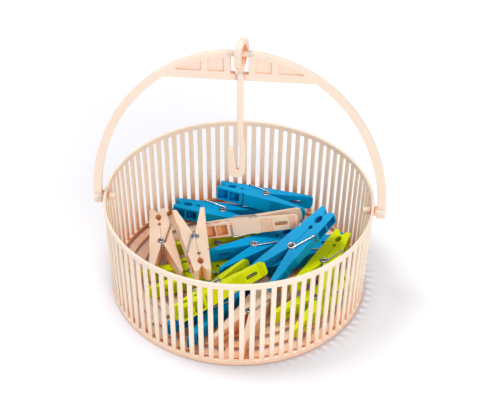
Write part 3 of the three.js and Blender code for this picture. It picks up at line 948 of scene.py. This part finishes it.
@dataclass
class HangingHook(Moulding):
    """Flat eye round the crown bar, a shank in front of the crown plate and a J below."""

    bail: BailHandle
    node = "hanging_hook"
    body = "hook"
    eye_inner_radius: float = 5.2
    eye_limb: float = 4.2
    eye_width: float = 5.4
    eye_turn: float = 18.0
    eye_slack: float = 5.8
    eye_tip_drop: float = 10.8
    eye_tip_half: float = 1.26
    eye_tip_run: float = 0.7
    eye_back_drop: float = 1.1
    shoulder_drop: float = 14.9
    shank_width: float = 5.0
    shank_depth: float = 4.2
    hook_drop: float = 116.0
    hook_shift: float = 1.3
    shank_shift: float = 1.4
    hook_bend: float = 42.0
    hook_slant: float = 12.9
    hook_radius: float = 7.15
    hook_limb: float = 4.5
    hook_inset: float = 2.4
    hook_tip_limb: float = 4.8
    hook_tip_rise: float = 30.0
    hook_seat_rise: float = 8.0
    seat_radius: float = 1.0
    seat_shift: float = -1.9
    edge_round: float = 1.0
    round_steps: int = 3
    steps: int = 24

    def eye(self) -> Piece:
        """Builds the eye and the diagonal under it, turned to face along its slot."""
        half = self.eye_limb / 2
        middle = self.eye_inner_radius + half
        rise = self.bail.crown_bar / 2 + self.eye_slack - self.eye_inner_radius
        shank_offset = self.shank_back() / math.cos(math.radians(self.eye_turn))
        tip = rise - self.eye_tip_drop
        over = arc((0.0, rise), middle, HALF_TURN, 0, self.steps)
        line = [
            (-middle, tip - self.eye_tip_half, self.eye_tip_half),
            (-middle, tip + self.eye_tip_run, half),
            *[(x, z, half) for x, z in over],
            (middle, -self.eye_back_drop, half),
            (-shank_offset, -self.shoulder_drop, half),
            (-shank_offset, -self.shoulder_drop - half / 2, half / 2),
        ]
        eye = prism("eye", ribbon(line), -self.eye_width / 2, self.eye_width / 2)
        eye = eased(eye, self.edge_round, self.round_steps)
        eye.data.transform(rotation(QUARTER_TURN - self.eye_turn, "Z"))
        return eye

    def shank_back(self) -> float:
        """How far the shank's middle lies in front of the bail's middle."""
        return self.bail.depth / 2 + self.bail.seat_gap + self.shank_depth / 2

    def shank_outline(self) -> Outline:
        """The shank and the J seen from the front, with a gap that narrows towards its seat."""
        half = self.shank_width / 2
        top, foot = -self.shoulder_drop, -self.hook_drop
        right = self.hook_limb
        left = right - 2 * self.hook_radius
        bend_top = foot + self.hook_bend
        bend_end = bend_top - self.hook_slant
        tip = self.hook_tip_limb / 2
        tip_height = foot + self.hook_tip_rise - tip
        seat_height = foot + self.hook_seat_rise + self.seat_radius
        bow = arc((right - self.hook_radius, foot + self.hook_radius), self.hook_radius,
                  0, -HALF_TURN, self.steps)
        over = arc((left + tip, tip_height), tip, HALF_TURN, 0, self.steps // 2)
        seat = arc((self.seat_shift, seat_height), self.seat_radius,
                   HALF_TURN, FULL_TURN, self.steps // 2)
        start = [(half / 2, top + half / 2), (half, top - half / 2),
                 (half, bend_top + self.hook_limb), (right, bend_end)]
        end = [(half - self.hook_inset, bend_end), (-half, bend_top),
               (-half, top - half / 2), (-half / 2, top + half / 2)]
        return [*start, *bow, *over, *seat, *end]

    def shank(self) -> Piece:
        """Builds the shank and the J."""
        shank = prism("shank", self.shank_outline(), -self.shank_depth / 2, self.shank_depth / 2)
        shank = eased(shank, self.edge_round, self.round_steps)
        shift = self.shank_shift - self.shank_back() * math.tan(math.radians(self.eye_turn))
        shank.data.transform(Matrix.Translation((shift * MM, -self.shank_back() * MM, 0)))
        return shank

    def pieces(self) -> list[Piece]:
        """Builds the hook in one piece."""
        hook = joined("hook", [baked(self.eye()), baked(self.shank())])
        crown = pivot_of("hook_swing").z
        hook.data.transform(Matrix.Translation((self.hook_shift * MM, 0, crown * MM)))
        return [smoothed(hook)]


@dataclass
class PegMould:
    """Sizes of a peg, drawn with X from the pivot to the grip ends, Y along the coil and Z out."""

    jaw_length: float = 46.0
    grip_length: float = 42.0
    width: float = 12.5
    jaw_gap: float = 0.3
    mouth_opening: float = 3.8
    mouth_length: float = 6.0
    jaw_height: float = 7.2
    grip_height: float = 14.6
    grip_end_thickness: float = 3.4
    grip_end_round: float = 1.6
    grip_end_steps: int = 4
    grip_corner: float = 4.4
    grip_corner_steps: int = 6
    line_notch: Triple = (12.5, 4.2, 2.5)
    line_notch_steps: int = 12
    wire_notch: Triple = (22.5, 1.8, 1.6)
    wire_notch_steps: int = 10
    wall: float = 1.6
    web: float = 1.1
    pocket_length: float = 21.0
    cell_steps: int = 12
    groove_width: float = 1.9
    groove_depth: float = 1.3
    groove_round: float = 1.9 / 3
    groove_from_tip: float = 26.5
    channel_start: float = 9.0
    channel_end_wall: float = 3.4
    slot_length: float = 12.0
    slot_width: float = 3.4
    slot_ease: float = 0.01
    slot_steps: int = 6
    slot_from_end: float = 16.0
    ridge_counts: tuple[int, int] = (6, 3)
    ridge_starts: Point = (8.0, 34.0)
    ridge_pitch: float = 1.9
    ridge_width: float = 1.3
    ridge_foot: float = 0.65
    ridge_depth: float = 0.5
    ridge_corner: float = 30.0
    seat_end: float = 12.0
    seat_steps: int = 14
    edge_round: float = 0.4
    edge_corner: float = 35.0
    wire_diameter: float = 1.3
    wire_sides: int = 10
    coil_diameter: float = 7.4
    coil_turns: int = 7
    coil_steps: int = 20
    bend_steps: int = 4
    arm_start: float = 1.95
    cross_arm: float = 10.5
    seat_gap: float = 0.35
    overrun: float = 5.0

    def outer_at(self, x: float) -> float:
        """Height of the lever's outer face."""
        slope = (self.grip_height - self.jaw_height) / (self.jaw_length + self.grip_length)
        return self.jaw_height + slope * (x + self.jaw_length)

    def notch(self, notch: Triple, steps: int) -> Outline:
        """Half an oval in the jaw's inner face, from its place, its half length and its depth."""
        centre, half, depth = notch
        return [(centre - self.jaw_length + x, self.jaw_gap / 2 + z)
                for x, z in ellipse(half, depth, HALF_TURN, 0, steps)]

    def inner_at(self, x: float) -> float:
        """Height of the jaw's inner face, its mouth and notches included."""
        from_tip = x + self.jaw_length
        height = max(self.jaw_gap / 2, self.mouth_opening * (1 - from_tip / self.mouth_length))
        for centre, half, depth in (self.line_notch, self.wire_notch):
            place = min(abs(from_tip - centre) / half, 1.0)
            height = max(height, self.jaw_gap / 2 + depth * math.sqrt(1 - place * place))
        return height

    def side_outline(self) -> Outline:
        """The lever seen from its side."""
        seat_radius = self.coil_diameter / 2 + self.seat_gap
        seat_start = math.degrees(math.asin(self.jaw_gap / 2 / seat_radius))
        inner_end = self.grip_height - self.grip_end_thickness
        end, ease, steps = self.grip_length, self.grip_end_round, self.grip_end_steps
        return [
            (-self.jaw_length, self.jaw_height),
            (-self.jaw_length, self.mouth_opening),
            (-self.jaw_length + self.mouth_length, self.jaw_gap / 2),
            *self.notch(self.line_notch, self.line_notch_steps),
            *self.notch(self.wire_notch, self.wire_notch_steps),
            *arc((0.0, 0.0), seat_radius, HALF_TURN - seat_start, self.seat_end, self.seat_steps),
            (end - ease, inner_end),
            *arc((end - ease, inner_end + ease), ease, -QUARTER_TURN, 0, steps)[1:],
            *arc((end - ease, self.outer_at(end) - ease), ease, 0, QUARTER_TURN, steps),
        ]

    def cutters(self) -> list[Piece]:
        """The hollows of a lever: channel, pocket cells, wire groove and grip slot."""
        inside = self.width / 2 - self.wall
        channel_end = self.grip_length - self.channel_end_wall
        web = [self.outer_at(x) - self.wall for x in (self.channel_start, channel_end)]
        channel = [(self.channel_start, 0.0), (channel_end, 0.0), (channel_end, web[1]),
                   (self.channel_start, web[0])]
        cut = [prism("channel", channel, -inside, inside)]
        cell = (self.pocket_length - self.wall) / 2
        for index in range(2):
            start = -self.jaw_length + self.wall + index * (cell + self.wall)
            places = [start + cell * step / self.cell_steps for step in range(self.cell_steps + 1)]
            floor = [(x, self.inner_at(x) + self.web) for x in places]
            top = [(start + cell, self.grip_height), (start, self.grip_height)]
            cut.append(prism("cell", floor + top, -inside, inside))
        groove = self.groove_from_tip - self.jaw_length
        low = (groove - self.groove_width / 2, self.outer_at(groove) - self.groove_depth)
        high = (groove + self.groove_width / 2, self.grip_height)
        cut.append(prism("groove", rounded(low, high, self.groove_round), -self.width, self.width))
        middle = self.grip_length - self.slot_from_end
        low = (middle - self.slot_length / 2, -self.slot_width / 2)
        high = (middle + self.slot_length / 2, self.slot_width / 2)
        slot = rounded(low, high, self.slot_width / 2 - self.slot_ease, self.slot_steps)
        cut.append(slab("slot", slot, 0.0, self.grip_height + self.overrun))
        return cut

    def ridges(self) -> list[Piece]:
        """The grooves that leave a row of grip ridges on each side of the slot."""
        foot, half = self.ridge_foot / 2, self.ridge_width / 2
        cut = []
        for count, start in zip(self.ridge_counts, self.ridge_starts):
            for index in range(count):
                x = start + index * self.ridge_pitch
                low = self.outer_at(x) - self.ridge_depth
                high = low + 2 * self.ridge_depth
                outline = [(x - foot, low), (x + foot, low), (x + half, high), (x - half, high)]
                cut.append(prism("ridge", outline, -self.width, self.width))
        return cut

    def lever(self, name: str) -> bpy.types.Mesh:
        """Builds the fine lever mesh, as the one on the +Z side."""
        body = prism(name, self.side_outline(), -self.width / 2, self.width / 2)
        low = (-self.jaw_length - 2 * self.overrun, -self.width / 2)
        high = (self.grip_length, self.width / 2)
        plan = slab("plan", rounded(low, high, self.grip_corner, self.grip_corner_steps),
                    -self.overrun, self.grip_height + self.overrun)
        body = carved(carved(body, [plan], keep=True), self.cutters())
        body = baked(eased(body, self.edge_round, corner=self.edge_corner))
        mesh = baked(smoothed(carved(body, self.ridges()), self.ridge_corner)).data
        bpy.data.objects.remove(body)
        return mesh

    def wire_path(self) -> list[Vector]:
        """The spring's wire: a cross arm, a coil about Y and the other cross arm."""
        radius = self.wire_diameter / 2
        path_radius = (self.coil_diameter - self.wire_diameter) / 2
        side = self.width / 2 + self.seat_gap + radius
        groove = self.groove_from_tip - self.jaw_length
        seat = self.outer_at(groove) - self.groove_depth + self.seat_gap + radius
        leave = math.atan2(seat, groove) - math.acos(path_radius / math.hypot(groove, seat))
        sweep = math.tau * self.coil_turns + 2 * leave
        steps = round(self.coil_steps * sweep / math.tau)
        coil = []
        for step in range(steps + 1):
            angle = leave - sweep * step / steps
            along = side * (2 * step / steps - 1)
            coil.append(Vector((path_radius * math.cos(angle), along,
                                path_radius * math.sin(angle))))
        turn = arc((1.0, 0.0), 1.0, HALF_TURN, QUARTER_TURN, self.bend_steps)
        arm = [Vector((groove, self.cross_arm - side, seat)),
               Vector((groove, self.arm_start - side, seat)),
               *[Vector((groove + radius * x, radius * (1 - y) - side, seat)) for x, y in turn]]
        other = [Vector((point.x, -point.y, -point.z)) for point in reversed(arm)]
        return [*arm, *coil, *other]

    def spring(self, name: str) -> Piece:
        """Builds the fine spring in the peg's own frame."""
        return smoothed(swept(name, self.wire_path(), self.wire_diameter / 2, self.wire_sides))


@dataclass
class PegPile:
    """The clothes pegs as they lie in the basket."""

    finishes: Finishes
    mould: PegMould = field(default_factory=PegMould)
    slots: dict[str, Slot] = field(default_factory=lambda: {
        "cream": Slot.CREAM_PEG, "blue": Slot.BLUE, "lime": Slot.LIME})

    def names(self) -> list[str]:
        """The pegs' names, from their joints."""
        ending = "_open"
        return [joint["name"].removesuffix(ending) for joint in frame["joints"]
                if joint["name"].endswith(ending)]

    def pose(self, peg: str) -> Matrix:
        """A peg's own frame: its hinge along Y and its free lever on the +Z side."""
        hinge = joint_named(f"{peg}_open")
        coil = Vector(hinge["axis"]).normalized()
        out = middle_of(f"{peg}_free_lever") - middle_of(f"{peg}_lever")
        out = (out - coil * out.dot(coil)).normalized()
        turn = Matrix((coil.cross(out), coil, out)).transposed()
        return Matrix.Translation(hinge["pos_m"]) @ turn.to_4x4()

    def build(self) -> list[Piece]:
        """Builds and dresses every peg.

        Returns:
            Their pieces.
        """
        levers = {}
        for label, slot in self.slots.items():
            levers[label] = self.mould.lever(f"{label}_lever")
            levers[label].materials.append(self.finishes.materials[slot])
        pieces = []
        for peg in self.names():
            label = peg.split("_")[0]
            pose = self.pose(peg)
            for node, body, turn in (("free_lever", f"{peg}_jaw", Matrix()),
                                     ("lever", BASE_BODY, rotation(HALF_TURN, "X"))):
                piece = flat_faces_kept(linked(f"{peg}_fine_{node}", levers[label]))
                piece.matrix_world = pose @ turn
                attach(piece, body)
                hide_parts(f"{peg}_{node}")
                pieces.append(piece)
            pieces.append(self.spring(peg, pose))
        return pieces

    def spring(self, peg: str, pose: Matrix) -> Piece:
        """Builds a peg's spring, set in the peg's own frame.

        Args:
            peg: The peg's name.
            pose: The peg's own frame.

        Returns:
            The spring.
        """
        wire = baked(self.mould.spring(f"{peg}_fine_spring"))
        wire.data.materials.append(self.finishes.materials[Slot.STEEL])
        wire.data.transform(pose)
        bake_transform(wire)
        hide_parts(f"{peg}_spring")
        return wire


# Studio


@dataclass
class Viewpoint:
    """The camera, placed as the photograph was taken."""

    elevation: float = 38.73
    azimuth: float = -4.78
    roll: float = 0.44
    distance: float = 1105.6
    target: Triple = (0.11, 0.0, 60.0)
    lens: float = 95.88
    sensor: float = 36.0
    shift: Point = (0.0027, 0.0506)

    def build(self) -> None:
        """Builds the camera and makes it the scene's."""
        data = bpy.data.cameras.new("camera")
        data.lens = self.lens
        data.sensor_width = self.sensor
        data.sensor_fit = "HORIZONTAL"
        data.shift_x, data.shift_y = self.shift
        camera = linked("camera", data)
        aim = rotation(-self.azimuth, "Z") @ Matrix.Translation(Vector(self.target) * MM)
        lean = rotation(QUARTER_TURN - self.elevation, "X")
        back = Matrix.Translation((0, 0, self.distance * MM))
        camera.matrix_world = aim @ lean @ back @ rotation(self.roll, "Z")
        bpy.context.scene.camera = camera


@dataclass(frozen=True)
class Lamp:
    """A far, wide lamp that lights the whole floor alike, with its spread in degrees."""

    name: str
    towards: Triple
    spread: float
    power: float
    colour: Colour

    def hang(self) -> None:
        """Adds the lamp to the scene."""
        data = bpy.data.lights.new(self.name, "SUN")
        data.angle = math.radians(self.spread)
        data.energy = self.power
        data.color = self.colour
        lamp = linked(self.name, data)
        lamp.rotation_euler = Vector(self.towards).to_track_quat("Z", "Y").to_euler()


@dataclass
class Studio:
    """A plain pale floor with painted shade near the basket, an even sky and soft lamps."""

    floor_size: float = 6.0
    floor_colour: Colour = (0.9, 0.9, 0.94)
    # Painted shade near the basket, by ambient occlusion: neutral around it and warm orange under
    # it, between the two radii below.
    floor_shade: Colour = (0.36, 0.36, 0.42)
    painted_warm_floor_shade: Colour = (0.5, 0.2, 0.06)
    warm_shade_start: float = 100.0
    warm_shade_end: float = 112.0
    floor_reach: float = 0.03
    floor_samples: int = 8
    floor_lift: float = 0.05
    sky_level: float = 0.44
    sky_colour: Colour = (0.97, 0.98, 1.0)
    lamps: tuple[Lamp, ...] = (
        Lamp("key", (-0.4, 0.12, 1.0), 20.0, 1.55, (1.0, 0.99, 0.97)),
        Lamp("fill", (0.45, -1.0, 0.6), 30.0, 1.5, (1.0, 0.98, 0.96)),
    )

    def floor(self) -> None:
        """Lays the floor, white to the camera where nothing shades it, with painted shade near the
        basket that is warm orange under it.
        """
        half = self.floor_size / 2 / MM
        corners = [(-half, -half), (half, -half), (half, half), (-half, half)]
        shape = bmesh.new()
        shape.faces.new([shape.verts.new((x, y, 0.0)) for x, y in corners])
        piece = finished("floor", shape)
        made, sheet = new_material("floor")
        seen = sheet.add("LightPath").outputs
        straight = sheet.sums("MAXIMUM", seen["Is Camera Ray"], seen["Is Glossy Ray"])
        place = sheet.add("TexCoord").outputs["Object"]
        far = sheet.add("VectorMath", {0: place}, operation="LENGTH").outputs["Value"]
        # painted shade near the basket, warm orange under it and neutral around it
        outside = sheet.ramp(far, self.warm_shade_start * MM, self.warm_shade_end * MM)
        shade = sheet.mixed(outside, self.painted_warm_floor_shade, self.floor_shade)
        openness = sheet.openness(self.floor_reach, self.floor_samples)
        sheet.principled({
            "Base Color": sheet.mixed(openness, shade, self.floor_colour),
            "Roughness": 1.0,
            "Specular IOR Level": 0.0,
            "Emission Color": WHITE,
            "Emission Strength": sheet.sums("MULTIPLY", straight, self.floor_lift),
        })
        piece.data.materials.append(made)

    def sky(self) -> None:
        """Makes the sky an even light that looks white itself."""
        world = bpy.data.worlds.new("sky")
        bpy.context.scene.world = world
        world.use_nodes = True
        sheet = NodeSheet(world.node_tree)
        seen = sheet.add("LightPath").outputs
        glass = sheet.sums("MAXIMUM", seen["Is Glossy Ray"], seen["Is Transmission Ray"])
        straight = sheet.sums("MAXIMUM", seen["Is Camera Ray"], glass)
        even = sheet.add("Background", {"Color": self.sky_colour, "Strength": self.sky_level})
        white = sheet.add("Background", {"Color": WHITE, "Strength": 1.0})
        both = sheet.add("MixShader", {0: straight, 1: even.outputs[0], 2: white.outputs[0]})
        sheet.add("OutputWorld", {"Surface": both.outputs[0]})

    def build(self) -> None:
        """Builds the studio."""
        self.floor()
        self.sky()
        for lamp in self.lamps:
            lamp.hang()
        bpy.context.scene.view_settings.view_transform = "Standard"


def main() -> None:
    """Builds the scene, one sub-assembly after another."""
    logging.basicConfig(level=logging.INFO, format="%(name)s: %(message)s")
    Viewpoint().build()
    Studio().build()
    finishes = Finishes()
    wall = BasketWall(finishes)
    bail = BailHandle(finishes, wall)
    parts = [wall, BasketFloor(finishes), bail, HangingHook(finishes, bail), PegPile(finishes)]
    for part in parts:
        for piece in part.build():
            LOG.info("%s: %s, %d faces", type(part).__name__, piece.name, len(piece.data.polygons))


if __name__ == "__main__":
    main()
